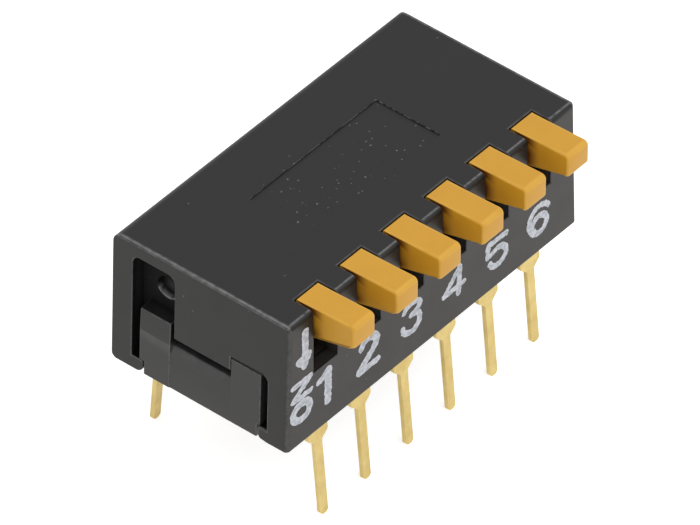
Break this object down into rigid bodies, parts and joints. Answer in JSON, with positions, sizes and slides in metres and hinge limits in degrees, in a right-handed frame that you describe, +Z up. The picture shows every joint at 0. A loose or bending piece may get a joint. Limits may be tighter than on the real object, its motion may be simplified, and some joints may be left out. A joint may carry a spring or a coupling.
{
  "type": "dip switch",
  "caption": "Through-hole piano-key DIP switch: rear-pivoting levers in a black cover over a moulded base with rows of flat pins.",
  "frame": {"origin": "centre of the pin grid on the board's surface, where the pins' shoulders seat", "axes": "+X runs along the row from pole 1 to the last pole, the key noses point to -Y, +Z is up, away from the board"},
  "size_m": [0.0174, 0.0107, 0.0109],
  "materials": {
    "cover_plastic": "fine satin moulded black",
    "base_plastic": "satin moulded black, smoother than the cover",
    "key_plastic": "satin moulded amber",
    "gold_plated_pin": "satin gold plate with bare stamped edges",
    "contact_spring": "rolled spring strip",
    "legend_ink": "pad-printed white ink"
  },
  "bodies": {
    "housing": {"cover": "cover_plastic", "base": "base_plastic", "terminal_front_1": "gold_plated_pin", "terminal_front_2": "gold_plated_pin", "terminal_front_3": "gold_plated_pin", "terminal_front_4": "gold_plated_pin", "terminal_front_5": "gold_plated_pin", "terminal_front_6": "gold_plated_pin", "terminal_rear_1": "gold_plated_pin", "terminal_rear_2": "gold_plated_pin", "terminal_rear_3": "gold_plated_pin", "terminal_rear_4": "gold_plated_pin", "terminal_rear_5": "gold_plated_pin", "terminal_rear_6": "gold_plated_pin"},
    "lever_1": {"key_1": "key_plastic", "contact_1": "contact_spring"},
    "lever_2": {"key_2": "key_plastic", "contact_2": "contact_spring"},
    "lever_3": {"key_3": "key_plastic", "contact_3": "contact_spring"},
    "lever_4": {"key_4": "key_plastic", "contact_4": "contact_spring"},
    "lever_5": {"key_5": "key_plastic", "contact_5": "contact_spring"},
    "lever_6": {"key_6": "key_plastic", "contact_6": "contact_spring"}
  },
  "joints": [
    {"name": "key_1_pivot", "type": "hinge", "parent": "housing", "child": "lever_1", "pos_m": [-0.00635, 0.00215, 0.00523], "axis": [1, 0, 0], "range_deg": [0, 14]},
    {"name": "key_2_pivot", "type": "hinge", "parent": "housing", "child": "lever_2", "pos_m": [-0.00381, 0.00215, 0.00523], "axis": [1, 0, 0], "range_deg": [0, 14]},
    {"name": "key_3_pivot", "type": "hinge", "parent": "housing", "child": "lever_3", "pos_m": [-0.00127, 0.00215, 0.00523], "axis": [1, 0, 0], "range_deg": [0, 14]},
    {"name": "key_4_pivot", "type": "hinge", "parent": "housing", "child": "lever_4", "pos_m": [0.00127, 0.00215, 0.00523], "axis": [1, 0, 0], "range_deg": [0, 14]},
    {"name": "key_5_pivot", "type": "hinge", "parent": "housing", "child": "lever_5", "pos_m": [0.00381, 0.00215, 0.00523], "axis": [1, 0, 0], "range_deg": [0, 14]},
    {"name": "key_6_pivot", "type": "hinge", "parent": "housing", "child": "lever_6", "pos_m": [0.00635, 0.00215, 0.00523], "axis": [1, 0, 0], "range_deg": [0, 14]}
  ]
}
